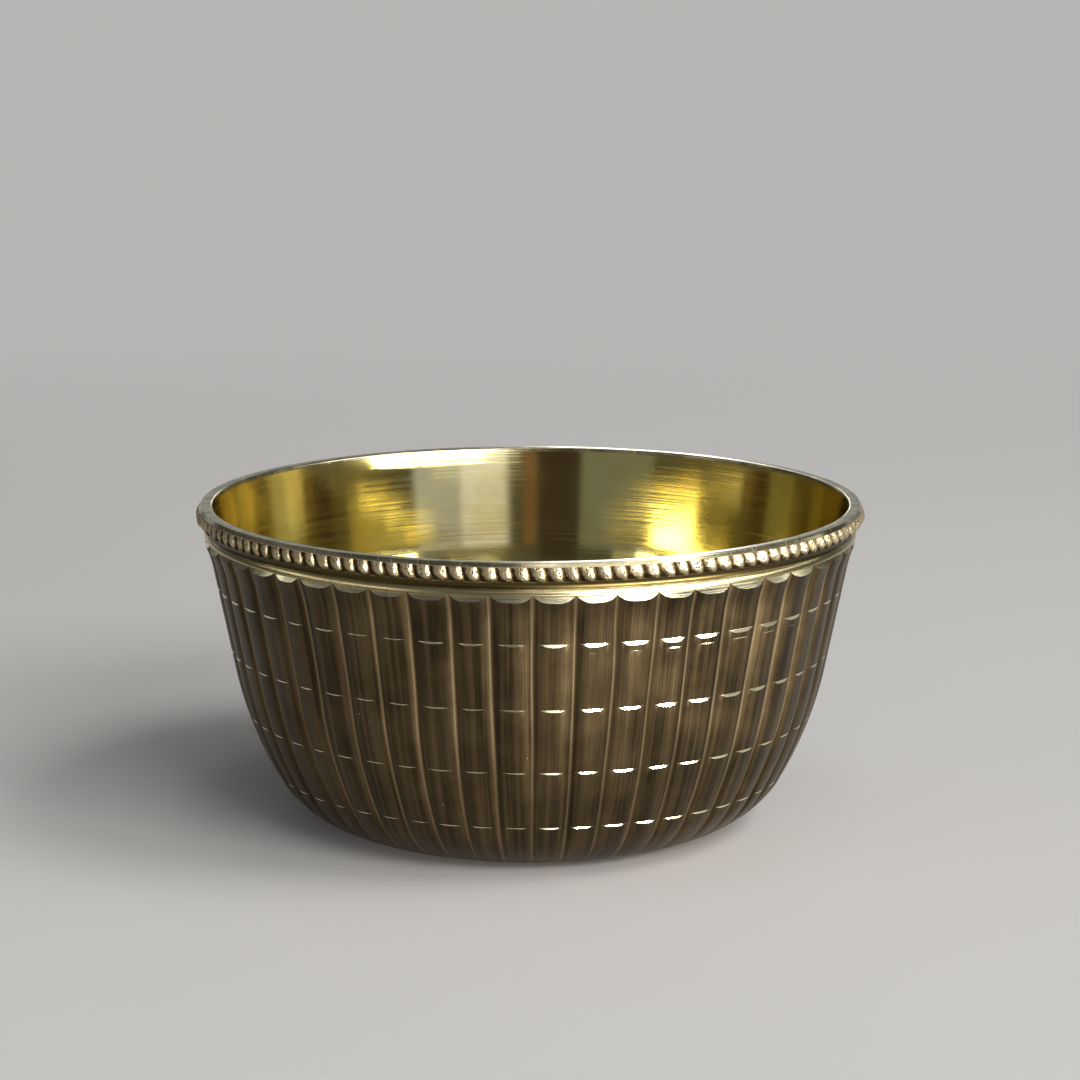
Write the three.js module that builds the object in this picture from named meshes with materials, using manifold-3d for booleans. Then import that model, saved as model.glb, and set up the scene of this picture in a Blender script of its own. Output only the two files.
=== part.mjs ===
// A small turned brass bowl with a reeded wall and a beaded rim.
// Millimetres, +Z up. The origin is the centre of the flat foot that the bowl stands on.
// Four pieces, soldered together: the bowl itself, a moulded collar, a beaded wire and a flat lip.

import * as THREE from "three";
import { mergeVertices } from "three/addons/utils/BufferGeometryUtils.js";
import Module from "manifold-3d";

// Bowl: overall sizes
const bowlHeight = 49.2; // foot to top of lip
const mouthRadius = 48.5; // inside, where the tapered wall meets the top of the lip
const wallThickness = 1.8; // at the crest of a reed, and in the floor
const wallTaper = 11.2; // degrees that the upper wall leans out
const bellyRadius = 58; // outside, between the upper wall and the corner
const cornerRadius = 15; // outside, between the belly and the flat foot
const cornerTurn = 61; // degrees that the corner turns through

// Bowl: foot
const footWidth = 4; // flat ring that touches the table
const recessDepth = 0.5; // turned hollow inside that ring

// Bowl: reeds
const reedCount = 52;
const reedDepth = 0.52; // crest to valley at the top of the wall
const reedFade = 9; // height over which the reeds rise out of the plain foot
const reedPhase = 4; // degrees from -Y towards +X to the crest of the first reed
const flareHeight = 3; // the top of the wall turns out a little over this height
const flareReach = 0.4;
const shoulderDrop = 0.5; // fall of the sloping cut across the tops of the reeds

// Bowl: rows of facets that a lathe tool cut across the crests
const nickPitch = 10; // along the wall
const nickDrop = 7.2; // along the wall, from the top of the reeds to the first row
const nickDepth = 0.22;
const nickLean = 6; // degrees that a facet looks up
const nickMargin = 12; // no row is nearer than this to the flat foot, along the wall

// Neck that carries the rings
const neckWall = 0.5; // at its thin top edge
const solderGap = 0.05; // between the neck and each ring round it
const ledgeWidth = 0.12; // flat seat at the root of the neck

// Collar: a plain band with a hollow above it
const collarHeight = 2.1;
const bandReach = 0.85; // how far the band stands out from the back of the ring
const bandHeight = 0.42;
const bandLift = 0.38; // its lower edge hangs this far above the seat
const coveDepth = 0.32;

// Beaded wire: a flat back and rounded beads between cuts
const beadHeight = 2.1;
const beadReach = 1.95; // from the back of the wire to the tip of a bead
const beadPitch = 2.322;
const beadGapDepth = 0.6; // of the cut between two beads
const beadShare = 0.5; // of the pitch, the full width of a bead
const beadShoulder = 0.65; // the rounded top and bottom of a bead fall back this far

// Lip: a flat ring with a hollow bevel round the outside
const lipThickness = 0.6;
const lipOverhang = 0.1; // past the flat top of the beads
const lipBevel = 0.6;
const lipEdge = 0.12; // broken edges

// Fineness of the faceted surfaces
const stepsPerReed = 3; // two flanks and a flat crest
const turnedSteps = reedCount * 2;
const cornerSteps = 4;
const bellySteps = 3;
const flareSteps = 2;
const coveSteps = 3;
const margin = 5; // a cutting shape runs this far past the metal that it removes

// Heights and radii that follow
const lipBase = bowlHeight - lipThickness;
const beadBase = lipBase - beadHeight;
const seatHeight = beadBase - collarHeight;
const reedTop = seatHeight - shoulderDrop;
const neckRadius = mouthRadius + neckWall;
const seatRadius = neckRadius + ledgeWidth;
const ringRadius = neckRadius + solderGap;
const beadTip = ringRadius + beadReach;

const radians = THREE.MathUtils.degToRad;
const lean = radians(wallTaper);
const reedTurn = (2 * Math.PI) / reedCount;

const manifold = await Module();
manifold.setup();

// Outside radius of the straight upper wall, at the crests and without the flare.
function wallRadiusAt(height) {
  const top = mouthRadius + wallThickness / Math.cos(lean);
  return top - (bowlHeight - height) * Math.tan(lean);
}

// The wall's section in three curves that run up from the flat foot: corner, belly and straight wall.
// Every inset shares the arcs' centres, so the wall keeps one thickness.
function wallCurves(inset) {
  const turn = radians(cornerTurn - 90);
  const bellyY = cornerRadius - (bellyRadius - cornerRadius) * Math.sin(turn);
  const wallFoot = bellyY - bellyRadius * Math.sin(lean);
  const bellyX = wallRadiusAt(wallFoot) - bellyRadius * Math.cos(lean);
  const cornerX = bellyX + (bellyRadius - cornerRadius) * Math.cos(turn);
  const arc = (x, y, radius, from, to) =>
    new THREE.EllipseCurve(x, y, radius - inset, radius - inset, from, to);
  const corner = arc(cornerX, cornerRadius, cornerRadius, -Math.PI / 2, turn);
  const belly = arc(bellyX, bellyY, bellyRadius, turn, -lean);
  const start = belly.getPoint(1);
  const top = bowlHeight + margin;
  const end = new THREE.Vector2(start.x + (top - start.y) * Math.tan(lean), top);
  return [corner, belly, new THREE.LineCurve(start, end)];
}

// Points of the wall's section, from the edge of the flat foot to above the rim.
function wallSection(inset) {
  const [corner, belly, wall] = wallCurves(inset);
  return [
    ...corner.getPoints(cornerSteps),
    ...belly.getPoints(bellySteps).slice(1),
    wall.v2,
  ].map((point) => [point.x, point.y]);
}

// How far the outside of the wall turns out near the top of the reeds.
function flareAt(height) {
  const share = (height - (reedTop - flareHeight)) / flareHeight;
  return flareReach * THREE.MathUtils.clamp(share, 0, 1) ** 2;
}

function reedDepthAt(radius, height) {
  const fade = THREE.MathUtils.smoothstep(height, 0, reedFade);
  return reedDepth * fade * (radius / mouthRadius);
}

function asGeometry(positions, index) {
  const geometry = new THREE.BufferGeometry();
  geometry.setAttribute("position", new THREE.Float32BufferAttribute(positions, 3));
  geometry.setIndex(index);
  return geometry;
}

// Turned work: a closed [radius, height] section all the way round. Its first corner lies the given
// number of reeds from the first crest.
function turned(section, steps = turnedSteps, start = 0) {
  const points = section.map(([radius, height]) => new THREE.Vector2(radius, height));
  if (THREE.ShapeUtils.area(points) < 0) points.reverse();
  const touchesAxis = points.some((point) => point.x === 0);
  if (!touchesAxis) points.push(points[0].clone());
  const geometry = new THREE.LatheGeometry(points, steps);
  geometry.rotateX(Math.PI / 2);
  geometry.rotateZ(radians(reedPhase) + start * reedTurn);
  return geometry;
}

function solidOf(geometry) {
  const bare = geometry.clone();
  bare.deleteAttribute("normal");
  bare.deleteAttribute("uv");
  const merged = mergeVertices(bare, 1e-4);
  return new manifold.Manifold(
    new manifold.Mesh({
      numProp: 3,
      vertProperties: new Float32Array(merged.attributes.position.array),
      triVerts: new Uint32Array(merged.index.array),
    }),
  );
}

function geometryOf(solid) {
  const mesh = solid.getMesh();
  return asGeometry(mesh.vertProperties, Array.from(mesh.triVerts));
}

// The wall's section outside, with the steps that the flare needs.
function blankSection() {
  const section = wallSection(0);
  const top = section.pop();
  for (let i = 0; i <= flareSteps; i++) {
    const height = reedTop - flareHeight + (flareHeight * i) / flareSteps;
    section.push([wallRadiusAt(height), height]);
  }
  return [...section, top];
}

// The bowl before turning: a solid lump with the reeded outside, from the foot up past the rim.
function reededBlank() {
  const section = blankSection();
  const count = reedCount * stepsPerReed;
  const positions = [];
  const index = [];
  for (const [radius, height] of section) {
    for (let i = 0; i < count; i++) {
      const across = 2 * ((i % stepsPerReed) / stepsPerReed) - 1;
      const fall = across ** 2 * reedDepthAt(radius, height);
      const reach = radius + flareAt(height) - fall;
      const angle = radians(reedPhase) + (i / stepsPerReed - 0.5) * reedTurn;
      positions.push(reach * Math.sin(angle), -reach * Math.cos(angle), height);
    }
  }
  const footCentre = positions.length / 3;
  const topCentre = footCentre + 1;
  positions.push(0, 0, section[0][1]);
  positions.push(0, 0, section[section.length - 1][1]);
  const topRow = (section.length - 1) * count;
  for (let i = 0; i < count; i++) {
    const next = (i + 1) % count;
    for (let low = 0; low < topRow; low += count) {
      const high = low + count;
      index.push(low + i, low + next, high + next);
      index.push(low + i, high + next, high + i);
    }
    index.push(footCentre, next, i);
    index.push(topCentre, topRow + i, topRow + next);
  }
  return solidOf(asGeometry(positions, index));
}

// The inside of the bowl, open at the top.
function hollow() {
  const section = wallSection(wallThickness);
  const top = section[section.length - 1][1];
  return solidOf(turned([[0, wallThickness], ...section, [0, top]]));
}

function footRecess() {
  const radius = wallSection(0)[0][0] - footWidth;
  return solidOf(
    turned([
      [0, -margin],
      [radius, -margin],
      [radius, 0],
      [radius - recessDepth, recessDepth],
      [0, recessDepth],
    ]),
  );
}

// Everything outside the neck and above the sloping shoulder, and above the neck's own top.
function rimCut() {
  const slope = shoulderDrop / (wallRadiusAt(reedTop) + flareReach - seatRadius);
  const far = seatRadius + margin;
  const above = bowlHeight + 2 * margin;
  return solidOf(
    turned([
      [0, lipBase],
      [neckRadius, lipBase],
      [neckRadius, seatHeight],
      [seatRadius, seatHeight],
      [far, seatHeight - margin * slope],
      [far, above],
      [0, above],
    ]),
  );
}

// The point this far down from the top of a chain of curves that run up, the topmost one first.
function pointDown(curves, distance) {
  const [curve, ...rest] = curves;
  const length = curve.getLength();
  if (distance <= length) return curve.getPointAt(1 - distance / length);
  return pointDown(rest, distance - length);
}

// Where the rows of facets have their level upper edges, on the outside of the wall.
function nickPoints() {
  const curves = wallCurves(0).reverse();
  const length = curves.reduce((sum, curve) => sum + curve.getLength(), 0);
  const aboveReeds = (bowlHeight + margin - reedTop) / Math.cos(lean);
  const points = [];
  for (let at = aboveReeds + nickDrop; at < length - nickMargin; at += nickPitch) {
    points.push(pointDown(curves, at));
  }
  return points;
}

// One row of facets: a many-sided ring, one side to a reed, that bites into the crests.
function nickCut(point) {
  const inner = (point.x - nickDepth) / Math.cos(reedTurn / 2);
  const section = [
    [inner, point.y],
    [inner + margin * Math.tan(radians(nickLean)), point.y - margin],
    [inner + margin, point.y - margin],
    [inner + margin, point.y],
  ];
  return solidOf(turned(section, reedCount, 0.5));
}

function bowlBody() {
  const cuts = [hollow(), rimCut(), footRecess(), ...nickPoints().map(nickCut)];
  return geometryOf(cuts.reduce((body, tool) => body.subtract(tool), reededBlank()));
}

function collarRing() {
  const band = ringRadius + bandReach;
  const bandFoot = seatHeight + bandLift;
  const bandTop = bandFoot + bandHeight;
  const cove = [];
  for (let i = 0; i <= coveSteps; i++) {
    const share = i / coveSteps;
    const height = THREE.MathUtils.lerp(bandTop, beadBase, share);
    cove.push([band - coveDepth * Math.sin(Math.PI * share), height]);
  }
  return turned([
    [ringRadius, seatHeight],
    [seatRadius, seatHeight],
    [band, bandFoot],
    ...cove,
    [ringRadius, beadBase],
  ]);
}

// The wire's section, cut back at the front by the given fall.
function beadSection(fall) {
  const edge = beadTip - beadShoulder - fall / 2;
  return [
    [ringRadius, beadBase],
    [edge, beadBase],
    [beadTip - fall, beadBase + beadHeight / 2],
    [edge, lipBase],
    [ringRadius, lipBase],
  ];
}

function beadedWire() {
  const count = Math.round((2 * Math.PI * beadTip) / beadPitch);
  const turn = (2 * Math.PI) / count;
  const side = ((1 - beadShare) / 2) * turn;
  const positions = [];
  const index = [];
  const addSection = (angle, fall) => {
    for (const [radius, height] of beadSection(fall)) {
      positions.push(radius * Math.sin(angle), -radius * Math.cos(angle), height);
    }
  };
  for (let i = 0; i < count; i++) {
    const start = (i - 0.5) * turn;
    addSection(start, beadGapDepth);
    addSection(start + side, 0);
    addSection(start + turn - side, 0);
  }
  const corners = beadSection(0).length;
  const total = positions.length / 3;
  for (let here = 0; here < total; here += corners) {
    const next = (here + corners) % total;
    for (let j = 0; j < corners; j++) {
      const k = (j + 1) % corners;
      index.push(here + j, next + j, next + k);
      index.push(here + j, next + k, here + k);
    }
  }
  return asGeometry(positions, index);
}

function lipRing() {
  const outer = beadTip - beadShoulder + lipOverhang;
  const bevelFall = lipThickness - lipEdge;
  const bevel = [];
  for (let i = 0; i <= coveSteps; i++) {
    const turn = (i / coveSteps) * (Math.PI / 2);
    bevel.push([
      outer - lipBevel * Math.sin(turn),
      lipBase + lipEdge + bevelFall * (1 - Math.cos(turn)),
    ]);
  }
  return turned([
    [mouthRadius - lipThickness * Math.tan(lean), lipBase],
    [outer, lipBase],
    ...bevel,
    [mouthRadius + lipEdge, bowlHeight],
    [mouthRadius - lipEdge * Math.tan(lean), bowlHeight - lipEdge],
  ]);
}

function brass(color, roughness) {
  return new THREE.MeshStandardMaterial({ color, roughness, metalness: 1 });
}

const satinBrass = brass(0x8a7248, 0.42);
const paleBrass = brass(0xb9a580, 0.3);
const castBrass = brass(0xa8916a, 0.5);
const polishedBrass = brass(0xc4b48c, 0.18);

const bowl = new THREE.Group();

function addPiece(name, geometry, material) {
  const mesh = new THREE.Mesh(geometry, material);
  mesh.name = name;
  bowl.add(mesh);
}

addPiece("bowl_body", bowlBody(), satinBrass);
addPiece("collar_ring", collarRing(), paleBrass);
addPiece("beaded_wire", beadedWire(), castBrass);
addPiece("lip_ring", lipRing(), polishedBrass);

export default bowl;
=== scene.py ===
"""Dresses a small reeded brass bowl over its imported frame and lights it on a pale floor.

Metres, +Z up. The bowl stands on z = 0 with its axis on Z, and -Y faces the camera. A turn is an angle
round the axis, in radians from -Y towards +X.
"""

from __future__ import annotations

import logging
import random
from dataclasses import dataclass, field
from enum import Enum, IntEnum
from functools import partial
from math import atan, atan2, cos, degrees, floor, pi, radians, sin, sqrt, tan
from typing import Any

import bmesh
import bpy
from bmesh.types import BMVert, BMesh
from bpy.types import Material, Node, NodeSocket, Object, World
from mathutils import Matrix, Vector, noise

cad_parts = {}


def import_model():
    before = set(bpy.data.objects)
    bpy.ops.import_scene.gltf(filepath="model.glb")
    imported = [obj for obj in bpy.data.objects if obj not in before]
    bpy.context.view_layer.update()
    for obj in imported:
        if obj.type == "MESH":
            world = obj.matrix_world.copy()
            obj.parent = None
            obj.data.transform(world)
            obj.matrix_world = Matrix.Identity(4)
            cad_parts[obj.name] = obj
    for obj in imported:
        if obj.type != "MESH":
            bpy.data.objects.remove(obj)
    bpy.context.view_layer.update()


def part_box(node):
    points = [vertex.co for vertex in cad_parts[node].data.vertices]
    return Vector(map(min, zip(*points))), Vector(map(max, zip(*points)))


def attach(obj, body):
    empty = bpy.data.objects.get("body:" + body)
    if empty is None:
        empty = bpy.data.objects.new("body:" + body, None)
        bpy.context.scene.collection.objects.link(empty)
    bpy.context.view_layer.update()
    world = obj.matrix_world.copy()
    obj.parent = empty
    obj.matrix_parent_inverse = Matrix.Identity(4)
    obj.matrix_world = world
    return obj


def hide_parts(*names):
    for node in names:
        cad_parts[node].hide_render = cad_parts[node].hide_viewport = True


MM = 0.001
# Points nearer than this are one point
TOUCH = 0.001 * MM
# Added before a floor, so that a border goes with what follows it
NUDGE = 1e-6
# The bore of the rings on the neck, with their clearance
RING_BORE = 49.05 * MM
# How many rows of vertices a row of facets has
NICK_ROWS = 4
# What the lamps and the camera point at
AIM = Vector((1.46 * MM, 0, 42.7 * MM))
log = logging.getLogger("bowl")

Colour = tuple[float, float, float, float]


def tone(*levels: int) -> Colour:
    """Turns an 8-bit sRGB colour into the linear one that a socket takes.

    Args:
        *levels: Red, green and blue, 0 to 255.

    Returns:
        The linear colour with full alpha.
    """
    parts = (level / 255 for level in levels)
    linear = (part / 12.92 if part <= 0.04045 else ((part + 0.055) / 1.055) ** 2.4 for part in parts)
    return (*linear, 1.0)


def eased(share: float) -> float:
    """A smooth step from 0 to 1."""
    share = min(max(share, 0.0), 1.0)
    return share * share * (3 - 2 * share)


def drawn_out(even: float, share: float) -> float:
    """A place from -1 to 1, drawn towards the ends by a share."""
    return (1 - share) * even + share * (1.5 * even - 0.5 * even**3)


class Value:
    """A number that a node gives. Arithmetic on it adds Math nodes."""

    def __init__(self, graph: Graph, socket: NodeSocket) -> None:
        """Wraps an output socket of the graph."""
        self.graph = graph
        self.socket = socket

    def __add__(self, other: Number) -> Value:
        """This plus other."""
        return self.graph.math("ADD", self, other)

    def __sub__(self, other: Number) -> Value:
        """This less other."""
        return self.graph.math("SUBTRACT", self, other)

    def __rsub__(self, other: Number) -> Value:
        """Other less this."""
        return self.graph.math("SUBTRACT", other, self)

    def __mul__(self, other: Number) -> Value:
        """This times other."""
        return self.graph.math("MULTIPLY", self, other)

    def __truediv__(self, other: Number) -> Value:
        """This over other."""
        return self.graph.math("DIVIDE", self, other)

    def __rtruediv__(self, other: Number) -> Value:
        """Other over this."""
        return self.graph.math("DIVIDE", other, self)

    def __pow__(self, other: Number) -> Value:
        """This to the power of other."""
        return self.graph.math("POWER", self, other)

    __radd__ = __add__
    __rmul__ = __mul__

    def over(self, low: float = 0.3, high: float = 0.7) -> Value:
        """A smooth step from 0 at low to 1 at high, which by default are a noise's usual ends."""
        inputs = {"Value": self, "From Min": low, "From Max": high}
        step = self.graph.node("ShaderNodeMapRange", {"interpolation_type": "SMOOTHSTEP"}, inputs)
        return Value(self.graph, step.outputs["Result"])

    def between(self, low: float, high: float) -> Value:
        """The share from 0 to 1, spread from low to high."""
        return self * (high - low) + low


Number = Value | float | int


class Graph:
    """The nodes of one material or world."""

    def __init__(self, owner: Material | World, surface: str) -> None:
        """Takes the owner's new nodes.

        Args:
            owner: The material or the world.
            surface: The name of the node that gives its surface.
        """
        owner.use_nodes = True
        self.tree = owner.node_tree
        self.surface = self.tree.nodes[surface]

    def node(
        self,
        kind: str,
        settings: dict[str, Any] | None = None,
        inputs: dict[str | int, Any] | None = None,
    ) -> Node:
        """Adds a node.

        Args:
            kind: The node's type.
            settings: The node's own properties, which are set first.
            inputs: A number, a colour, a Value or a socket for each named or numbered input.

        Returns:
            The new node.
        """
        made = self.tree.nodes.new(kind)
        for name, setting in (settings or {}).items():
            setattr(made, name, setting)
        for key, source in (inputs or {}).items():
            self.plug(made.inputs[key], source)
        return made

    def plug(self, socket: NodeSocket, source: Any) -> None:
        """Gives an input socket a value or a link.

        Args:
            socket: The input socket.
            source: A Value, an output socket, a number, a colour or a vector.
        """
        if isinstance(source, Value):
            self.tree.links.new(source.socket, socket)
        elif isinstance(source, NodeSocket):
            self.tree.links.new(source, socket)
        else:
            socket.default_value = source

    def dress(self, **inputs: Any) -> None:
        """Sets inputs of the surface, named with a low line for each space."""
        for name, source in inputs.items():
            self.plug(self.surface.inputs[name.replace("_", " ")], source)

    def math(self, operation: str, first: Number, second: Number) -> Value:
        """The result of a Math node on two numbers."""
        made = self.node("ShaderNodeMath", {"operation": operation}, {0: first, 1: second})
        return Value(self, made.outputs[0])

    def mixed(self, share: Number, first: Any, second: Any) -> NodeSocket:
        """The socket of a colour between two, with this share of the second."""
        made = self.node("ShaderNodeMix", {"data_type": "RGBA"}, {0: share, 6: first, 7: second})
        return made.outputs[2]

    def attribute(self, name: str) -> Value:
        """A number that the mesh keeps at its vertices."""
        made = self.node("ShaderNodeAttribute", {"attribute_name": name})
        return Value(self, made.outputs["Fac"])

    def bump(self, height: Value, depth: float, under: Any = None) -> NodeSocket:
        """A normal that follows a height.

        Args:
            height: The height, from 0 to 1.
            depth: What a height of 1 stands for, in metres.
            under: The normal of a coarser bump, if there is one.

        Returns:
            The normal's socket.
        """
        inputs: dict[str | int, Any] = {"Height": height, "Distance": depth}
        if under is not None:
            inputs["Normal"] = under
        return self.node("ShaderNodeBump", {}, inputs).outputs["Normal"]


class Finish(Graph):
    """A material of one Principled surface."""

    def __init__(self, name: str) -> None:
        """Starts the material."""
        self.material = bpy.data.materials.new(name)
        super().__init__(self.material, "Principled BSDF")


class TurnedBrass(Finish):
    """Turned brass, with patterns that run round the axis and up the section."""

    def __init__(self, name: str, girth: float) -> None:
        """Starts the material and reads the object's own coordinates.

        Args:
            name: The material's name.
            girth: The radius at which lengths round the piece are true.
        """
        super().__init__(name)
        self.dress(Metallic=1.0)
        self.girth = girth
        self.place = self.node("ShaderNodeTexCoord").outputs["Object"]
        parts = self.node("ShaderNodeSeparateXYZ", {}, {0: self.place})
        x, y, height = (Value(self, socket) for socket in parts.outputs)
        radius = (x * x + y * y) ** 0.5
        self.east = x / radius
        self.north = y / radius
        self.along = height + radius

    def noise_at(self, place: NodeSocket, scale: float, detail: float) -> Value:
        """Noise at a place, about 0.3 to 0.7."""
        inputs = {"Vector": place, "Scale": scale, "Detail": detail, "Roughness": 0.6}
        return Value(self, self.node("ShaderNodeTexNoise", {}, inputs).outputs["Fac"])

    def marks(self, width: float, length: float, detail: float = 2.0, shift: float = 0.0) -> Value:
        """Noise in long marks.

        Args:
            width: The marks' size round the piece.
            length: Their size along the section.
            detail: How many finer layers they have.
            shift: A number that gives another set of marks.

        Returns:
            The noise.
        """
        around = self.girth / width
        inputs = {0: self.east * around + shift, 1: self.north * around, 2: self.along / length}
        place = self.node("ShaderNodeCombineXYZ", {}, inputs).outputs[0]
        return self.noise_at(place, 1.0, detail)

    def clouds(self, size: float, detail: float = 3.0) -> Value:
        """Noise in round patches of this size."""
        return self.noise_at(self.place, 1 / size, detail)

    def specks(self, spacing: float, share: float) -> Value:
        """Round specks, 1 in their middle and 0 outside, by their spacing and their radius over it."""
        inputs = {"Vector": self.place, "Scale": 1 / spacing, "Randomness": 1.0}
        cells = self.node("ShaderNodeTexVoronoi", {"feature": "F1"}, inputs)
        return 1 - Value(self, cells.outputs["Distance"]).over(share * 0.5, share)


@dataclass(frozen=True)
class ReededSatin:
    """The outside: satin brass, olive brown, with upright draw lines and a highlight painted paler
    along its grooves.
    """

    deep: Colour = tone(44, 36, 24)
    light: Colour = tone(94, 78, 54)
    # The paler colour painted along the valleys as a highlight
    groove: Colour = tone(158, 137, 102)
    mark_width: float = 0.16 * MM
    mark_length: float = 14 * MM

    def made(self, girth: float) -> Material:
        """The material, for work of this radius."""
        graph = TurnedBrass("reeded_satin_brass", girth)
        fine = graph.marks(self.mark_width, self.mark_length)
        broad = graph.marks(1.1 * MM, 60 * MM, 1.0, shift=7.0)
        cloud = graph.clouds(9 * MM)
        groove = graph.attribute("groove")
        dust = graph.specks(2.6 * MM, 0.035) * graph.clouds(6 * MM).over(0.5, 0.6)
        tint = fine.over() * 0.18 + broad.over(0.36, 0.64) * 0.46 + cloud.over() * 0.36
        brass = graph.mixed(tint, self.deep, self.light)
        # Painted highlight: the valleys are painted paler, up to 0.4 of the way to the groove colour
        groove_highlit = graph.mixed(groove.over(0.84, 0.99) * 0.4, brass, self.groove)
        graph.dress(
            Base_Color=graph.mixed(dust, groove_highlit, tone(225, 220, 205)),
            Roughness=fine.over().between(0.34, 0.44) + cloud.over(0.4, 0.7) * 0.04,
            Normal=graph.bump(fine, 0.012 * MM, graph.bump(broad, 0.05 * MM)),
        )
        return graph.material


@dataclass(frozen=True)
class PolishedInside:
    """The inside: polished brass with fine lines round it from the lathe."""

    bright: Colour = tone(240, 226, 154)
    warm: Colour = tone(230, 208, 122)
    line_height: float = 0.3 * MM

    def made(self, girth: float) -> Material:
        """The material, for work of this radius."""
        graph = TurnedBrass("polished_brass", girth)
        lines = graph.marks(60 * MM, self.line_height, detail=3.0)
        coarse = graph.marks(90 * MM, 0.8 * MM, shift=3.0)
        cloud = graph.clouds(14 * MM)
        graph.dress(
            Base_Color=graph.mixed(cloud.over(0.35, 0.7), self.bright, self.warm),
            Roughness=lines.over(0.35, 0.7).between(0.07, 0.14) + cloud.over(0.5, 0.7) * 0.04,
            Normal=graph.bump(lines, 0.003 * MM, graph.bump(coarse, 0.007 * MM)),
        )
        return graph.material


@dataclass(frozen=True)
class FreshCut:
    """The facets and the shoulder: pale brass as the lathe tool left it."""

    bright: Colour = tone(232, 222, 186)
    grey: Colour = tone(204, 198, 164)

    def made(self, girth: float) -> Material:
        """The material, for work of this radius."""
        graph = TurnedBrass("cut_brass", girth)
        lines = graph.marks(25 * MM, 0.09 * MM)
        cloud = graph.clouds(3 * MM)
        graph.dress(
            Base_Color=graph.mixed(cloud.over(0.35, 0.65), self.bright, self.grey),
            Roughness=lines.over().between(0.12, 0.24),
            Normal=graph.bump(lines, 0.004 * MM),
        )
        return graph.material


@dataclass(frozen=True)
class TurnedBand:
    """The collar: turned brass, bright on its edges, with shade painted brown in its hollow."""

    bright: Colour = tone(196, 180, 134)
    brown: Colour = tone(72, 60, 32)

    def made(self, girth: float) -> Material:
        """The material, for work of this radius."""
        graph = TurnedBrass("turned_brass", girth)
        lines = graph.marks(18 * MM, 0.08 * MM)
        cloud = graph.clouds(4 * MM)
        hollow = graph.attribute("hollow")
        # Painted shade: brown in the hollow, broken up by a cloud
        hollow_shade = (hollow + cloud * 0.5 - 0.25).over(0.15, 0.75)
        graph.dress(
            Base_Color=graph.mixed(hollow_shade, self.bright, self.brown),
            Roughness=lines.over().between(0.18, 0.28) + hollow_shade * 0.08,
            Normal=graph.bump(lines, 0.006 * MM),
        )
        return graph.material


@dataclass(frozen=True)
class ShadedBeads:
    """The beads: pale on their crowns and pitted, with shade painted brown in the cuts between them
    and on their lower halves.
    """

    crown: Colour = tone(178, 162, 128)
    brown: Colour = tone(52, 40, 22)

    def made(self, girth: float) -> Material:
        """The material, for work of this radius."""
        graph = TurnedBrass("beaded_brass", girth)
        lumps = graph.clouds(0.55 * MM)
        grain = graph.clouds(0.16 * MM, 2.0)
        pits = graph.specks(0.50 * MM, 0.36) * graph.clouds(1.4 * MM).over(0.38, 0.52)
        cut = graph.attribute("cut")
        # Painted shade: the cut attribute, with lumps, paints the cuts and the lower halves brown
        cut_shade = (cut + lumps * 0.7 - 0.35).over(0.2, 0.85)
        # The painted shade and the real pits, whichever is darker
        shade = graph.math("MAXIMUM", cut_shade, pits)
        pitted = graph.bump(1 - pits, 0.06 * MM, graph.bump(lumps, 0.17 * MM))
        graph.dress(
            Base_Color=graph.mixed(shade, self.crown, self.brown),
            Roughness=grain.over().between(0.32, 0.44) + shade * 0.1,
            Normal=graph.bump(grain, 0.03 * MM, pitted),
        )
        return graph.material


@dataclass(frozen=True)
class BurnishedLip:
    """The lip: pale burnished brass, lightly scratched, with brown low on its bevel."""

    pale: Colour = tone(206, 194, 158)
    grey: Colour = tone(160, 152, 122)
    brown: Colour = tone(182, 168, 132)

    def made(self, girth: float) -> Material:
        """The material, for work of this radius."""
        graph = TurnedBrass("lip_brass", girth)
        lines = graph.marks(14 * MM, 0.1 * MM)
        cloud = graph.clouds(5 * MM)
        scratch = graph.marks(0.12 * MM, 2.0 * MM, shift=5.0).over(0.66, 0.72)
        low = graph.attribute("low")
        flat = graph.mixed(cloud.over(0.35, 0.65), self.pale, self.grey)
        graph.dress(
            Base_Color=graph.mixed((low * cloud).over(0.2, 0.6), flat, self.brown),
            Roughness=lines.over().between(0.14, 0.24) + scratch * 0.12,
            Normal=graph.bump(scratch, 0.006 * MM, graph.bump(lines, 0.005 * MM)),
        )
        return graph.material


@dataclass(frozen=True)
class PaleGround:
    """The floor: plain pale paint, which stays pale in the distance."""

    paint: Colour = tone(199, 197, 194)
    distance: Colour = tone(184, 182, 180)
    near: float = 0.16
    far: float = 0.7

    def made(self) -> Material:
        """The material."""
        graph = Finish("pale_ground")
        graph.dress(Base_Color=self.paint, Roughness=0.9, Specular_IOR_Level=0.2)
        place = graph.node("ShaderNodeTexCoord").outputs["Object"]
        away = graph.node("ShaderNodeVectorMath", {"operation": "LENGTH"}, {0: place})
        light_path = graph.node("ShaderNodeLightPath").outputs
        seen = Value(graph, light_path["Is Camera Ray"])
        for kind in ("Is Glossy Ray", "Is Transmission Ray"):
            seen = graph.math("MAXIMUM", seen, Value(graph, light_path[kind]))
        glow = graph.node("ShaderNodeEmission", {}, {"Color": self.distance})
        share = Value(graph, away.outputs["Value"]).over(self.near, self.far) * seen
        inputs = {0: share, 1: graph.surface.outputs["BSDF"], 2: glow.outputs["Emission"]}
        blend = graph.node("ShaderNodeMixShader", {}, inputs)
        graph.plug(graph.tree.nodes["Material Output"].inputs["Surface"], blend.outputs["Shader"])
        return graph.material


class Slot(Enum):
    """The record's material slots."""

    BODY = "satin_brass"
    COLLAR = "turned_brass"
    BEADS = "beaded_brass"
    LIP = "lip_brass"


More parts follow.
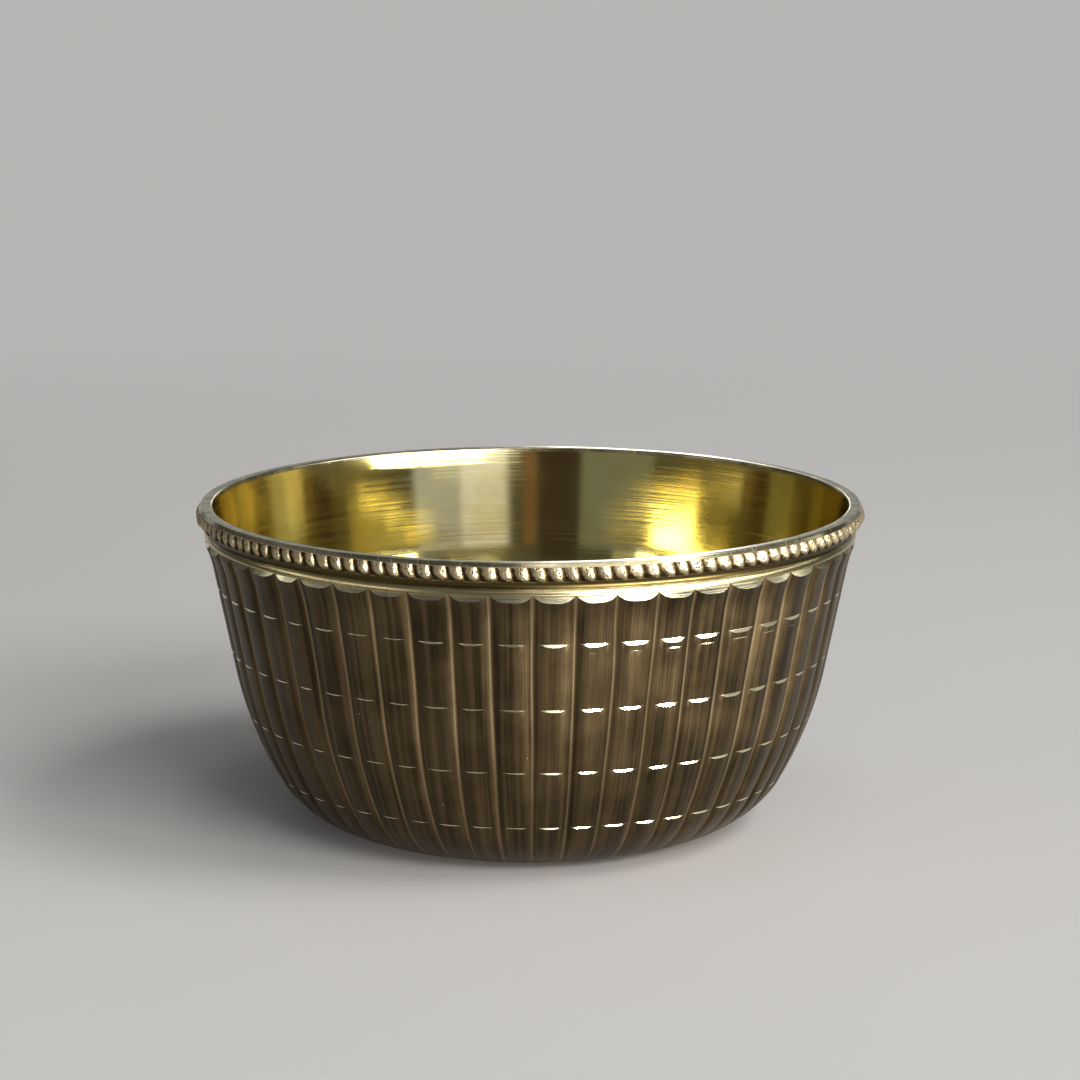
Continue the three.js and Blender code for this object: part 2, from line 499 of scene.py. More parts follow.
class Section:
    """A section in the XZ plane, drawn corner by corner as a chain of edges, and then spun."""

    def __init__(self, radius: float, height: float) -> None:
        """Starts the chain at a point."""
        self.mesh = bmesh.new()
        self.row = self.mesh.verts.layers.int.new("row")
        self.tip = self.mesh.verts.new((radius, 0, height))
        self.start = self.tip

    def line(self, radius: float, height: float, steps: int = 1) -> None:
        """Draws a straight line.

        Args:
            radius: The end's radius.
            height: The end's height.
            steps: How many edges it is cut into.
        """
        start, end = self.tip.co.copy(), Vector((radius, 0, height))
        for number in range(1, steps + 1):
            grown = bmesh.ops.extrude_vert_indiv(self.mesh, verts=[self.tip])
            self.tip = grown["verts"][0]
            self.tip.co = start.lerp(end, number / steps)

    def arc(self, radius: float, height: float, turn: float, steps: int) -> None:
        """Draws an arc round a centre.

        Args:
            radius: The centre's radius.
            height: The centre's height.
            turn: The angle, positive from +X towards +Z.
            steps: How many edges it has.
        """
        around = {"cent": (radius, 0, height), "axis": (0, -1, 0)}
        swept = bmesh.ops.spin(self.mesh, geom=[self.tip], angle=turn, steps=steps, **around)
        self.tip = next(part for part in swept["geom_last"] if isinstance(part, BMVert))

    def close(self) -> Section:
        """Joins the chain's end to its start, and gives the section back."""
        self.mesh.edges.new((self.tip, self.start))
        return self

    def spun(self, sectors: int, columns: int, start: float = 0.0) -> BMesh:
        """Turns the section once round the axis, as one sector that is then repeated.

        Args:
            sectors: How many equal sectors the turn has.
            columns: How many columns of faces a sector has.
            start: The turn at which the first column lies.

        Returns:
            The mesh, closed, its normals outward.
        """
        mesh = self.mesh
        sector = 2 * pi / sectors
        around = {"cent": (0, 0, 0), "axis": (0, 0, 1)}
        to_start = Matrix.Rotation(start - pi / 2, 3, "Z")
        bmesh.ops.rotate(mesh, verts=mesh.verts, cent=(0, 0, 0), matrix=to_start)
        chain = [*mesh.verts, *mesh.edges]
        bmesh.ops.spin(mesh, geom=chain, angle=sector, steps=columns, **around)
        wedge = [*mesh.verts, *mesh.edges, *mesh.faces]
        more = sectors - 1
        bmesh.ops.spin(mesh, geom=wedge, angle=sector * more, steps=more, use_duplicate=True, **around)
        bmesh.ops.remove_doubles(mesh, verts=mesh.verts, dist=TOUCH)
        bmesh.ops.recalc_face_normals(mesh, faces=mesh.faces)
        return mesh


def turn_of(place: Vector) -> float:
    """The turn at which a point lies, from 0 up to a full turn."""
    return atan2(place.x, -place.y) % (2 * pi)


def set_turned(vert: BMVert, radius: float, turn: float, height: float) -> None:
    """Puts a vertex at a radius, a turn and a height."""
    vert.co = (radius * sin(turn), -radius * cos(turn), height)


def linked(name: str, data: Any) -> Object:
    """A new object of this data, linked to the scene."""
    made = bpy.data.objects.new(name, data)
    bpy.context.scene.collection.objects.link(made)
    return made


def crisp(mesh: BMesh, least: float) -> None:
    """Marks the edges that bend by this angle or more as sharp."""
    for edge in mesh.edges:
        edge.smooth = edge.calc_face_angle(0.0) < least


@dataclass
class Piece:
    """One piece of the bowl, which stands for a node of the frame."""

    node: str
    slot: Slot
    sectors: int = 52
    columns: int = 8

    def placed(self, mesh: BMesh, finishes: list[Material]) -> Object:
        """Makes the piece's object, on the frame's root.

        Args:
            mesh: The piece's mesh, in place.
            finishes: Its materials, in the order that its faces count them.

        Returns:
            The new object.
        """
        for face in mesh.faces:
            face.smooth = True
        data = bpy.data.meshes.new(self.node + "_dressed")
        mesh.to_mesh(data)
        mesh.free()
        for finish in finishes:
            data.materials.append(finish)
        made = linked(self.node + "_dressed", data)
        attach(made, "root")
        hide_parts(self.node)
        log.info("%s: %d faces", made.name, len(data.polygons))
        return made


@dataclass
class WallCurve:
    """The wall's section outside: a corner, a belly and a straight upper part."""

    height: float = 49.2 * MM
    mouth_radius: float = 48.5 * MM
    thickness: float = 1.8 * MM
    lean: float = radians(11.2)
    belly_radius: float = 58 * MM
    corner_radius: float = 15 * MM
    corner_turn: float = radians(61)

    def __post_init__(self) -> None:
        """Works out the arcs' centres."""
        turn = self.corner_turn - pi / 2
        apart = self.belly_radius - self.corner_radius
        self.belly_height = self.corner_radius - apart * sin(turn)
        self.wall_foot = self.belly_height - self.belly_radius * sin(self.lean)
        self.belly_centre = self.straight_at(self.wall_foot) - self.belly_radius * cos(self.lean)
        self.corner_centre = self.belly_centre + apart * cos(turn)
        self.belly_turn = -turn - self.lean

    def straight_at(self, height: float) -> float:
        """The radius of the straight upper part, drawn down to any height."""
        top = self.mouth_radius + self.thickness / cos(self.lean)
        return top - (self.height - height) * tan(self.lean)

    def radius_at(self, height: float) -> float:
        """The outside radius at a height."""
        if height >= self.wall_foot:
            return self.straight_at(height)
        rise = height - self.belly_height
        out = self.belly_centre + sqrt(self.belly_radius**2 - rise**2)
        knee = self.corner_radius - self.corner_radius * cos(self.corner_turn)
        if height >= knee:
            return out
        rise = self.corner_radius - height
        return self.corner_centre + sqrt(self.corner_radius**2 - rise**2)

    def slope_at(self, height: float) -> float:
        """How much the radius grows per height."""
        step = 0.05 * MM
        return (self.radius_at(height + step) - self.radius_at(height - step)) / (2 * step)

    def down_from(self, top: float, distance: float) -> float:
        """The height this far along the wall below a height on its straight part."""
        straight = (top - self.wall_foot) / cos(self.lean)
        if distance <= straight:
            return top - distance * cos(self.lean)
        turn = self.lean + (distance - straight) / self.belly_radius
        return self.belly_height - self.belly_radius * sin(turn)


@dataclass
class Nick:
    """One row of facets, cut across the reeds by a tool that runs true to the axis."""

    top: float
    bite: float
    number: int


class Dressing(IntEnum):
    """The body's finishes, in the order in which its faces count them."""

    SATIN = 0
    POLISHED = 1
    CUT = 2


class Row(IntEnum):
    """What a row of the body's vertices belongs to. The rows of the facets count on from NICKS."""

    PLAIN = 0
    REEDED = 1
    TOP = 2
    NICKS = 10


@dataclass
class ReededBody(Piece):
    """The bowl itself: floor, foot, reeded wall, rows of facets, shoulder and neck."""

    node: str = "bowl_body"
    slot: Slot = Slot.BODY
    curve: WallCurve = field(default_factory=WallCurve)
    foot_width: float = 4 * MM
    recess_depth: float = 0.5 * MM
    reed_depth: float = 0.70 * MM
    reed_power: float = 3.3
    reed_fade: float = 9 * MM
    reed_phase: float = radians(4)
    flare_height: float = 3 * MM
    flare_reach: float = 0.4 * MM
    shoulder_drop: float = 0.95 * MM
    least_shoulder: float = 0.03 * MM
    ledge_width: float = 0.12 * MM
    neck_wall: float = 0.5 * MM
    neck_bend: float = 16 * MM
    neck_steps: int = 12
    neck_lean: float = radians(7)
    off_true: float = 0.035 * MM
    off_turn: float = radians(25)
    lobe: float = 0.06 * MM
    lobe_turn: float = radians(30)
    nick_drop: float = 6.35 * MM
    nick_pitch: float = 10 * MM
    nick_bites: tuple[float, ...] = (0.11 * MM, 0.08 * MM, 0.08 * MM, 0.10 * MM)
    least_bite: float = 0.05 * MM
    echo_drop: float = 1.35 * MM
    echo_bite: float = -0.045 * MM
    nick_lean: float = radians(8)
    nick_room: float = 1.25 * MM
    nick_spare: float = 0.15 * MM
    nick_clear: float = 0.35 * MM
    nick_lead: float = 0.3 * MM
    nick_rise: float = 0.3
    faint_bite: float = 0.004 * MM
    top_lead: float = 0.7 * MM
    row_gap: float = 0.02 * MM
    valley_error: float = 0.035
    depth_error: float = 0.1
    crest_errors: tuple[float, float] = (-0.03 * MM, 0.01 * MM)
    tilt_error: float = 0.06 * MM
    wander: float = 0.05
    wander_length: float = 16 * MM
    wander_apart: float = 3.7
    column_draw: float = 0.6
    columns: int = 16
    seed: int = 7

    def __post_init__(self) -> None:
        """Takes the levels from the frame and draws the small errors of hand work."""
        _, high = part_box(self.node)
        collar_low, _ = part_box("collar_ring")
        self.neck_top = high.z
        self.seat = collar_low.z
        self.reed_top = self.seat - self.shoulder_drop
        self.neck_radius = self.curve.mouth_radius + self.neck_wall
        self.seat_radius = self.neck_radius + self.ledge_width
        self.pitch = 2 * pi / self.sectors
        chance = random.Random(self.seed)
        reeds, error, tilt = range(self.sectors), self.depth_error, self.tilt_error
        self.valley_shift = [chance.gauss(0, self.valley_error) * self.pitch for _ in reeds]
        self.valley_gain = [chance.uniform(1 - error, 1 + error) for _ in reeds]
        self.crest_lift = [chance.uniform(*self.crest_errors) for _ in reeds]
        self.reed_tilt = [chance.uniform(-tilt, tilt) for _ in reeds]
        self.nicks = [
            Nick(self.curve.down_from(self.reed_top, self.nick_drop + k * self.nick_pitch), bite, k)
            for k, bite in enumerate(self.nick_bites)
        ]
        echo_top = self.nicks[0].top - self.echo_drop
        self.nicks.append(Nick(echo_top, self.echo_bite, len(self.nicks)))

    def skin_radius(self, turn: float, reed: int, across: float, height: float) -> float:
        """The radius of the reeded skin.

        Args:
            turn: The turn of the place.
            reed: The reed's number.
            across: The place across the reed, -1 and 1 in its valleys.
            height: The height.

        Returns:
            The radius.
        """
        radius = self.curve.radius_at(height)
        flare = (height - (self.reed_top - self.flare_height)) / self.flare_height
        radius += self.flare_reach * min(max(flare, 0.0), 1.0) ** 2
        fade = eased(height / self.reed_fade)
        near, far = reed % self.sectors, (reed + 1) % self.sectors
        gain = self.valley_gain[near if across < 0 else far]
        fall = self.reed_depth * gain * abs(across) ** self.reed_power
        crest = (1 - across**2) * (self.crest_lift[near] + self.reed_tilt[near] * across)
        runout = fade * self.off_true * cos(turn - self.off_turn)
        runout += fade * self.lobe * cos(3 * (turn - self.lobe_turn))
        return radius + runout + fade * (crest - fall)

    def valley_turn(self, number: int, height: float) -> float:
        """The turn of the valley before a reed, at a height."""
        index = number % self.sectors
        place = Vector((index * self.wander_apart, height / self.wander_length, 0.5))
        wander = noise.noise(place) * self.wander
        return self.reed_phase + (number - 0.5 + wander) * self.pitch + self.valley_shift[index]

    def tool_radius(self, nick: Nick, reed: int) -> float:
        """The radius at which the tool cuts a reed, which marks it also where the wall stands back.

        Args:
            nick: The row of facets.
            reed: The reed's number.

        Returns:
            The radius.
        """
        true = self.curve.radius_at(nick.top) - nick.bite
        if nick.bite < 0:
            return true
        middle = (self.valley_turn(reed, nick.top) + self.valley_turn(reed + 1, nick.top)) / 2
        return min(true, self.skin_radius(middle, reed, 0.0, nick.top) - self.least_bite)

    def cut_rows(self, pen: Section, skin: list[BMVert]) -> None:
        """Gives the skin the rows of points that its facets need, and takes away those in their way.

        Args:
            pen: The section, drawn up to the skin's top.
            skin: The skin's points.
        """
        tops = [nick.top for nick in self.nicks]
        crowded = [
            vert
            for vert in skin
            if vert is not pen.tip
            and any(-self.nick_room < vert.co.z - top < self.nick_clear for top in tops)
        ]
        bmesh.ops.dissolve_verts(pen.mesh, verts=crowded)
        levels = {top - self.nick_room: Row.REEDED for top in tops[1:]}
        levels.update({top + self.nick_lead: Row.REEDED for top in tops[:-1]})
        levels[self.reed_top - self.top_lead] = Row.REEDED
        for nick in self.nicks:
            for step in range(NICK_ROWS):
                levels[nick.top - step * self.row_gap] = Row.NICKS + NICK_ROWS * nick.number + step
        for level in levels:
            chain = [*pen.mesh.verts, *pen.mesh.edges]
            bmesh.ops.bisect_plane(pen.mesh, geom=chain, plane_co=(0, 0, level), plane_no=(0, 0, 1))
        for vert in pen.mesh.verts:
            if vert.co.x > self.curve.corner_centre + TOUCH:
                near = [kind for level, kind in levels.items() if abs(vert.co.z - level) < TOUCH / 10]
                vert[pen.row] = near[0] if near else Row.REEDED

    def section(self) -> Section:
        """Draws the section from the middle of the recess round to the middle of the floor.

        Returns:
            The section, with a row number kept on each of its points.
        """
        curve = self.curve
        foot = curve.corner_centre
        recess = foot - self.foot_width
        pen = Section(0, self.recess_depth)
        pen.line(recess - self.recess_depth, self.recess_depth, 3)
        pen.line(recess, 0)
        pen.line(foot, 0)
        plain = set(pen.mesh.verts)
        pen.arc(curve.corner_centre, curve.corner_radius, curve.corner_turn, 15)
        pen.arc(curve.belly_centre, curve.belly_height, curve.belly_turn, 13)
        pen.line(curve.straight_at(self.reed_top), self.reed_top, 14)
        self.cut_rows(pen, [vert for vert in pen.mesh.verts if vert not in plain])
        row = pen.row
        pen.tip[row] = Row.TOP
        pen.line(self.seat_radius, self.seat)
        pen.tip[row] = Row.PLAIN
        pen.line(self.neck_radius, self.seat)
        pen.tip[row] = Row.PLAIN
        pen.line(self.neck_radius, self.neck_top, 2)
        inset = curve.thickness
        inner_top = curve.straight_at(self.neck_top) - inset / cos(curve.lean)
        pen.line(inner_top, self.neck_top)
        inner_foot = curve.belly_centre + (curve.belly_radius - inset) * cos(curve.lean)
        wall_foot = curve.wall_foot + inset * sin(curve.lean)
        fall = self.neck_bend / self.neck_steps
        for number in range(self.neck_steps):
            lean = self.neck_lean + (curve.lean - self.neck_lean) * (number + 0.5) / self.neck_steps
            pen.line(pen.tip.co.x - fall * tan(lean), pen.tip.co.z - fall)
        pen.line(inner_foot, wall_foot, 4)
        pen.arc(curve.belly_centre, curve.belly_height, -curve.belly_turn, 7)
        pen.arc(curve.corner_centre, curve.corner_radius, -curve.corner_turn, 12)
        pen.line(0, inset, 3)
        return pen

    def reed_place(self, turn: float) -> tuple[int, float]:
        """The reed at an even turn, and how far across it that column comes to lie."""
        count = (turn - self.reed_phase) / self.pitch + 0.5 + NUDGE
        reed = floor(count)
        return reed, drawn_out(2 * (count - reed) - 1, self.column_draw)

    def facet_place(
        self, nick: Nick, step: int, reed: int, skin: partial[float]
    ) -> tuple[float, float] | None:
        """Finds where a column crosses one of a facet's rows of vertices.

        Args:
            nick: The row of facets.
            step: The row of vertices, from 0 above the facet to its foot.
            reed: The reed's number.
            skin: The skin's radius on this column at a height.

        Returns:
            The radius and the height, or nothing where the tool hardly touches the skin.
        """
        tool = self.tool_radius(nick, reed)
        bite = skin(nick.top) - tool
        if bite <= self.faint_bite:
            return None
        lean = tan(self.nick_lean)
        drop = min(bite / (self.curve.slope_at(nick.top) + lean), self.nick_room - self.nick_spare)
        height = nick.top + (self.nick_rise * bite, 0, -drop / 2, -drop)[step]
        on_tool = 0 < step < NICK_ROWS - 1
        return tool + (nick.top - height) * lean if on_tool else skin(height), height

    def shape_skin(self, mesh: BMesh) -> set[BMVert]:
        """Moves the reeded skin's vertices to the reeds, the facets and the shoulder's edge.

        Args:
            mesh: The spun body.

        Returns:
            The vertices that lie on facets.
        """
        row = mesh.verts.layers.int["row"]
        # groove keeps how far across its reed each point lies. The satin paints a highlight along the
        # valleys by it
        groove = mesh.verts.layers.float.new("groove")
        cut = set()
        crest = self.curve.straight_at(self.reed_top) + self.flare_reach
        slope = self.shoulder_drop / (crest - self.seat_radius)
        for vert in mesh.verts:
            kind = vert[row]
            if kind < Row.REEDED or vert.co.z < TOUCH:
                continue
            reed, across = self.reed_place(turn_of(vert.co))
            vert[groove] = abs(across)
            height = vert.co.z
            before, after = self.valley_turn(reed, height), self.valley_turn(reed + 1, height)
            turn = (before + after) / 2 + across * (after - before) / 2
            skin = partial(self.skin_radius, turn, reed, across)
            radius = skin(height)
            if kind == Row.TOP:
                for _ in range(3):
                    radius = max(skin(height), self.seat_radius + self.least_shoulder)
                    height = self.seat - (radius - self.seat_radius) * slope
            elif kind >= Row.NICKS:
                number, step = divmod(kind - Row.NICKS, NICK_ROWS)
                place = self.facet_place(self.nicks[number], step, reed, skin)
                if place:
                    radius, height = place
                    if step:
                        cut.add(vert)
            set_turned(vert, radius, turn, height)
        return cut

    def finish_faces(self, mesh: BMesh, cut: set[BMVert]) -> None:
        """Gives each face its finish and marks the crisp edges.

        Args:
            mesh: The shaped body.
            cut: The vertices that lie on facets.
        """
        row = mesh.verts.layers.int["row"]
        near, level = 10 * TOUCH, 1e-3
        for face in mesh.faces:
            kinds = {vert[row] for vert in face.verts}
            middle = face.calc_center_median()
            out = middle.xy.length
            if Row.PLAIN not in kinds:
                on_facet = all(kind > Row.NICKS and (kind - Row.NICKS) % NICK_ROWS for kind in kinds)
                if on_facet and sum(vert in cut for vert in face.verts) > 1:
                    face.material_index = Dressing.CUT
            elif Row.TOP in kinds or (middle.z > self.seat - TOUCH and out > self.neck_radius - near):
                face.material_index = Dressing.CUT
            elif middle.z > self.recess_depth + near:
                if face.normal.z > -level or out < self.curve.radius_at(middle.z) - MM:
                    face.material_index = Dressing.POLISHED
        crisp(mesh, radians(30))
        for edge in mesh.edges:
            first, second = (vert[row] for vert in edge.verts)
            if Row.PLAIN in (first, second):
                continue
            both_cut = all(vert in cut for vert in edge.verts)
            step = (first - Row.NICKS) % NICK_ROWS
            # The row with step 2 runs along the middle of a facet
            on_rim = first == second and first >= Row.NICKS and step != 2 and (both_cut or step == 0)
            edge.smooth = not (on_rim or first == second == Row.TOP)

    def build(self) -> Object:
        """Builds and dresses the body."""
        mesh = self.section().spun(self.sectors, self.columns, self.reed_phase - self.pitch / 2)
        cut = self.shape_skin(mesh)
        bmesh.ops.recalc_face_normals(mesh, faces=mesh.faces)
        self.finish_faces(mesh, cut)
        girth = self.curve.mouth_radius
        finishes = [ReededSatin().made(girth), PolishedInside().made(girth), FreshCut().made(girth)]
        return self.placed(mesh, finishes)


@dataclass
class CollarRing(Piece):
    """The collar: a plain band with a hollow above it."""

    node: str = "collar_ring"
    slot: Slot = Slot.COLLAR
    band_inset: float = 0.22 * MM
    band_lift: float = 0.08 * MM
    band_height: float = 0.66 * MM
    band_fall: float = 0.25 * MM
    cove_depth: float = 0.25 * MM
    ledge: float = 0.07 * MM
    edge: float = 0.05 * MM

    def build(self) -> Object:
        """Builds and dresses the ring."""
        low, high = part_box(self.node)
        band = high.x - self.band_inset
        band_top = low.z + self.band_lift + self.band_height
        half = (high.z - band_top) / 2
        sweep = 2 * atan(self.cove_depth / half)
        cove_radius = half / sin(sweep)
        band_edge = band - self.band_fall
        centre = band_edge + cove_radius * cos(sweep)
        pen = Section(RING_BORE, low.z)
        pen.line(RING_BORE + self.ledge, low.z)
        pen.line(band, low.z + self.band_lift)
        pen.line(band_edge, band_top)
        pen.arc(centre, band_top + half, -2 * sweep, 10)
        pen.line(RING_BORE, high.z)
        mesh = pen.close().spun(self.sectors, self.columns)
        edges = [
            edge
            for edge in mesh.edges
            if edge.calc_face_angle(0.0) > radians(25)
            and edge.verts[0].co.xy.length > band_edge - self.edge
        ]
        shape = {"segments": 2, "profile": 0.5, "affect": "EDGES", "material": -1}
        bmesh.ops.bevel(mesh, geom=edges, offset=self.edge, clamp_overlap=True, **shape)
        hollow = mesh.verts.layers.float.new("hollow")
        for vert in mesh.verts:
            depth = (band_edge - vert.co.xy.length) / self.cove_depth
            vert[hollow] = min(max(depth, 0.0), 1.0)
        crisp(mesh, radians(40))
        return self.placed(mesh, [TurnedBand().made(band)])


@dataclass
class BeadedWire(Piece):
    """The beaded wire: a flat back and rounded beads between narrow cuts."""

    node: str = "beaded_wire"
    slot: Slot = Slot.BEADS
    pitch: float = 2.322 * MM
    cut_depth: float = 0.80 * MM
    shoulder: float = 0.65 * MM
    shoulder_power: float = 2.4
    top_share: float = 0.6
    crown: float = 0.3
    left_power: float = 1.4
    right_power: float = 4.0
    slant: float = 0.10
    lump_size: float = 0.75 * MM
    lump_height: float = 0.17 * MM
    shift_error: float = 0.13
    sink_error: float = 0.14 * MM
    least_depth: float = 0.75
    cut_fade: float = 0.35
    # Where the painted shade starts below each bead's middle, how fast it grows, and its share of cut
    shade_top: float = 0.1
    shade_power: float = 1.5
    shade_share: float = 0.7
    column_draw: float = 0.45
    rows: int = 8
    seed: int = 11

    def build(self) -> Object:
        """Builds and dresses the wire."""
        low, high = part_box(self.node)
        tip = high.x
        count = round(2 * pi * tip / self.pitch)
        chance = random.Random(self.seed)
        beads = range(count)
        shifts = [chance.uniform(-self.shift_error, self.shift_error) for _ in beads]
        sinks = [chance.uniform(0, self.sink_error) for _ in beads]
        depths = [chance.uniform(self.least_depth, 1.0) * self.cut_depth for _ in beads]
        edge = tip - self.shoulder
        pen = Section(RING_BORE, low.z)
        pen.line(edge, low.z)
        pen.line(edge, high.z, self.rows)
        pen.line(RING_BORE, high.z)
        mesh = pen.close().spun(count, self.columns)
        cut = mesh.verts.layers.float.new("cut")
        middle, half = (low.z + high.z) / 2, (high.z - low.z) / 2
        turn_pitch = 2 * pi / count
        for vert in mesh.verts:
            if vert.co.xy.length < edge - TOUCH:
                continue
            place = turn_of(vert.co) / turn_pitch + NUDGE
            bead = floor(place)
            even = 2 * (place - bead) - 1
            across = drawn_out(even, self.column_draw)
            near, far = shifts[bead % count], shifts[(bead + 1) % count]
            shift = (near * (1 - even) + far * (1 + even)) / 2
            up = (vert.co.z - middle) / half
            turn = (bead + (across + 1) / 2 + shift * 0.5 - self.slant * up) * turn_pitch
            side = across - self.crown
            if side < 0:
                cheek = (-side / (1 + self.crown)) ** self.left_power
            else:
                cheek = (side / (1 - self.crown)) ** self.right_power
            depth = depths[bead % count] if across < 0 else depths[(bead + 1) % count]
            fall = self.shoulder * abs(up) ** self.shoulder_power * (self.top_share if up > 0 else 1)
            fall += depth * cheek * (1 - self.cut_fade * up * up)
            fall += sinks[bead % count] * (1 - cheek)
            probe = vert.co / self.lump_size
            fall += self.lump_height * (0.5 + noise.noise(probe)) * (1 - up**4)
            # Painted shade: cut marks the left side of each bead, its cuts and its lower half, which
            # the beads' material paints brown
            under = max(self.shade_top - up, 0) ** self.shade_power
            vert[cut] = min(1.0, cheek + self.shade_share * under)
            set_turned(vert, tip - max(fall, 0.0), turn, vert.co.z)
        crisp(mesh, radians(60))
        return self.placed(mesh, [ShadedBeads().made(tip)])


@dataclass
class LipRing(Piece):
    """The lip: a flat ring with a steep bevel round its outside."""

    node: str = "lip_ring"
    slot: Slot = Slot.LIP
    mouth_radius: float = WallCurve.mouth_radius
    lean: float = WallCurve.lean
    inner_lean: float = ReededBody.neck_lean
    bevel_lean: float = radians(31)
    edge: float = 0.06 * MM
    round_edge: float = 0.12 * MM
    inner_edge: float = 0.3 * MM

    def build(self) -> Object:
        """Builds and dresses the ring."""
        low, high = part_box(self.node)
        outer = high.x
        thickness = high.z - low.z
        foot = self.mouth_radius - thickness * tan(self.lean)
        pen = Section(foot, low.z)
        pen.line(outer, low.z)
        pen.line(outer, low.z + self.edge)
        rise = thickness - self.edge - self.round_edge * (1 - sin(self.bevel_lean))
        bevel_top = outer - rise * tan(self.bevel_lean)
        pen.line(bevel_top, low.z + self.edge + rise, 3)
        outer_centre = bevel_top - self.round_edge * cos(self.bevel_lean)
        pen.arc(outer_centre, high.z - self.round_edge, pi / 2 - self.bevel_lean, 4)
        round_centre = foot + (thickness - self.inner_edge) * tan(self.inner_lean) + self.inner_edge
        pen.line(round_centre, high.z)
        pen.arc(round_centre, high.z - self.inner_edge, pi / 2, 5)
        mesh = pen.close().spun(self.sectors, self.columns)
        low_down = mesh.verts.layers.float.new("low")
        for vert in mesh.verts:
            vert[low_down] = eased((vert.co.xy.length - bevel_top) / (outer - bevel_top))
        crisp(mesh, radians(30))
        return self.placed(mesh, [BurnishedLip().made(outer)])


@dataclass
class Softbox:
    """One oblong lamp, aimed at the bowl from a turn and an elevation."""

    name: str
    turn: float
    elevation: float
    distance: float
    width: float
    height: float
    power: float

    def build(self) -> None:
        """Adds the lamp."""
        turn, rise = radians(self.turn), radians(self.elevation)
        level = cos(rise)
        away = Vector((sin(turn) * level, -cos(turn) * level, sin(rise)))
        data = bpy.data.lights.new(self.name, "AREA")
        data.shape = "RECTANGLE"
        data.size, data.size_y = self.width, self.height
        data.energy = self.power
        lamp = linked(self.name, data)
        lamp.location = AIM + away * self.distance
        lamp.rotation_euler = away.to_track_quat("Z", "Y").to_euler()
        lamp.visible_camera = False


@dataclass
class WallPatch:
    """A lighter or darker part of the studio's walls, in degrees of turn and elevation."""

    first: float
    last: float
    bottom: float
    top: float
    light: tuple[float, float, float]
    blur: float = 2.0

    def share(self, turn: Value, rise: Value) -> Value:
        """How much of a place on the walls, by its turn and elevation, is in the patch."""
        inside = self.within(turn, self.first, self.last)
        return inside * self.within(rise, self.bottom, self.top)

    def within(self, angle: Value, low: float, high: float) -> Value:
        """1 between two angles and 0 outside them, with a soft edge."""
        inside = angle.over(low - self.blur, low + self.blur)
        return inside * (1 - angle.over(high - self.blur, high + self.blur))


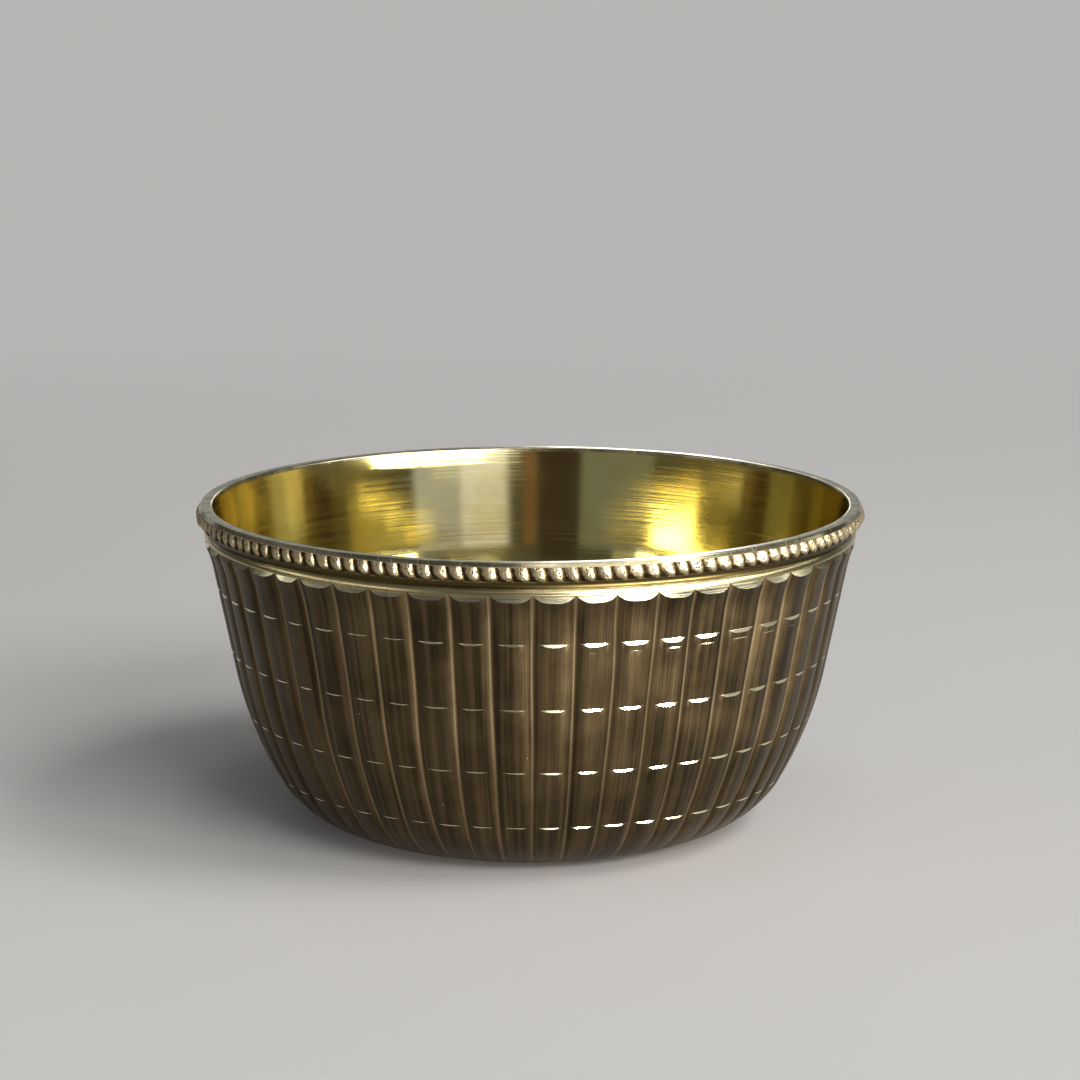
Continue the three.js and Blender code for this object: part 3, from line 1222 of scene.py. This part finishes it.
@dataclass
class StudioWalls:
    """The walls and ceiling round the bowl: dim, with lighter and darker patches."""

    plain: tuple[float, float, float] = (0.07, 0.07, 0.07)
    patches: tuple[WallPatch, ...] = (
        # The wall all round, then what the inside mirrors at its back
        WallPatch(-190, 190, 22, 42, (0.14, 0.14, 0.15), 6),
        WallPatch(-48, -19, -20, 14, (0.17, 0.18, 0.19)),
        WallPatch(-19, -3, -20, 20, (0.04, 0.03, 0.03), 1),
        WallPatch(-2, 3, -20, 14, (0.17, 0.10, 0.07), 1),
        WallPatch(28, 46, -20, 14, (0.42, 0.45, 0.66)),
        WallPatch(9, 28, -20, 14, (0.74, 0.78, 1.20)),
        WallPatch(4, 38, -8, 3.9, (2.2, 2.2, 2.2), 0.8),
        # The bright edges that the inside mirrors twice
        WallPatch(-105, -34, 14, 24, (0.36, 0.37, 0.36), 1),
        WallPatch(-52, -44, 14, 15.6, (6, 6, 5.6), 0.7),
        WallPatch(-66, -52, 15.2, 16.8, (6, 6, 5.6), 0.7),
        WallPatch(-82, -66, 17, 18.6, (6, 6, 5.6), 0.7),
        WallPatch(-105, -82, 19, 20.6, (6, 6, 5.6), 0.7),
        WallPatch(48, 90, 15, 20, (1.2, 1.2, 1.1), 1.5),
        WallPatch(48, 64, 14.2, 16.2, (8, 8, 7.6), 0.7),
        WallPatch(64, 80, 15.2, 17.2, (10, 10, 9.6), 0.7),
        WallPatch(80, 96, 16.2, 18.2, (9, 9, 8.6), 0.7),
        WallPatch(96, 108, 17.8, 19.4, (7, 7, 6.4), 0.7),
        WallPatch(108, 122, 19, 20.6, (4, 4, 3.6), 0.7),
        WallPatch(72, 86, 17.5, 20, (10, 10, 9.6), 0.8),
        WallPatch(50, 84, 18.8, 24, (13, 13, 13), 0.8),
        # The ceiling, the room behind, and the light over the lip
        WallPatch(-190, 190, 66, 97, (0.45, 0.45, 0.45), 5),
        WallPatch(140, 190, 4, 16, (0.40, 0.42, 0.40)),
        WallPatch(-190, -140, 4, 16, (0.40, 0.42, 0.40)),
        WallPatch(-2, 105, 44, 58, (1.6, 1.6, 1.6)),
    )

    def build(self) -> None:
        """Makes the world."""
        world = bpy.data.worlds.new("studio")
        graph = Graph(world, "Background")
        place = graph.node("ShaderNodeTexCoord").outputs["Generated"]
        parts = graph.node("ShaderNodeSeparateXYZ", {}, {0: place}).outputs
        x, y, z = (Value(graph, socket) for socket in parts)
        turn = graph.math("ARCTAN2", x, y * -1) * degrees(1)
        rise = graph.math("ARCSINE", z, 0) * degrees(1)
        light: Any = (*self.plain, 1.0)
        for patch in self.patches:
            light = graph.mixed(patch.share(turn, rise), light, (*patch.light, 1.0))
        graph.plug(graph.surface.inputs["Color"], light)
        bpy.context.scene.world = world


@dataclass
class Studio:
    """A plain pale floor, soft lamps and the camera."""

    floor_size: float = 60.0
    camera_distance: float = 457 * MM
    camera_elevation: float = radians(10.99)
    lens: float = 99.3
    sensor_width: float = 36.0
    clip_start: float = 10 * MM
    lamps: tuple[Softbox, ...] = (
        Softbox("key", 68, 52, 1.40, 0.50, 0.50, 5.9),
        Softbox("window", 32, 30, 1.20, 0.66, 0.30, 6.4),
        Softbox("low_strip", 40, 0.55, 3.00, 2.40, 0.14, 300.0),
        Softbox("back_strip", 177.4, 12, 1.20, 0.10, 0.24, 0.35),
        Softbox("top", 20, 84, 1.20, 0.25, 0.25, 0.6),
    )

    def build(self) -> None:
        """Adds the floor, the lamps, the world and the camera."""
        mesh = bmesh.new()
        bmesh.ops.create_grid(mesh, x_segments=1, y_segments=1, size=self.floor_size / 2)
        data = bpy.data.meshes.new("floor")
        mesh.to_mesh(data)
        mesh.free()
        data.materials.append(PaleGround().made())
        linked("floor", data)
        for lamp in self.lamps:
            lamp.build()
        StudioWalls().build()
        self.build_camera()

    def build_camera(self) -> None:
        """Adds the camera."""
        rise = self.camera_elevation
        away = Vector((0, -cos(rise), sin(rise)))
        data = bpy.data.cameras.new("camera")
        data.lens = self.lens
        data.sensor_width = self.sensor_width
        data.clip_start = self.clip_start
        camera = linked("camera", data)
        camera.location = AIM + away * self.camera_distance
        camera.rotation_euler = away.to_track_quat("Z", "Y").to_euler()
        bpy.context.scene.camera = camera
        bpy.context.scene.view_settings.view_transform = "Standard"


def main() -> None:
    """Builds the pieces in order, then the studio."""
    logging.basicConfig(level=logging.INFO, format="%(name)s: %(message)s")
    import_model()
    ReededBody().build()
    CollarRing().build()
    BeadedWire().build()
    LipRing().build()
    Studio().build()


if __name__ == "__main__":
    main()
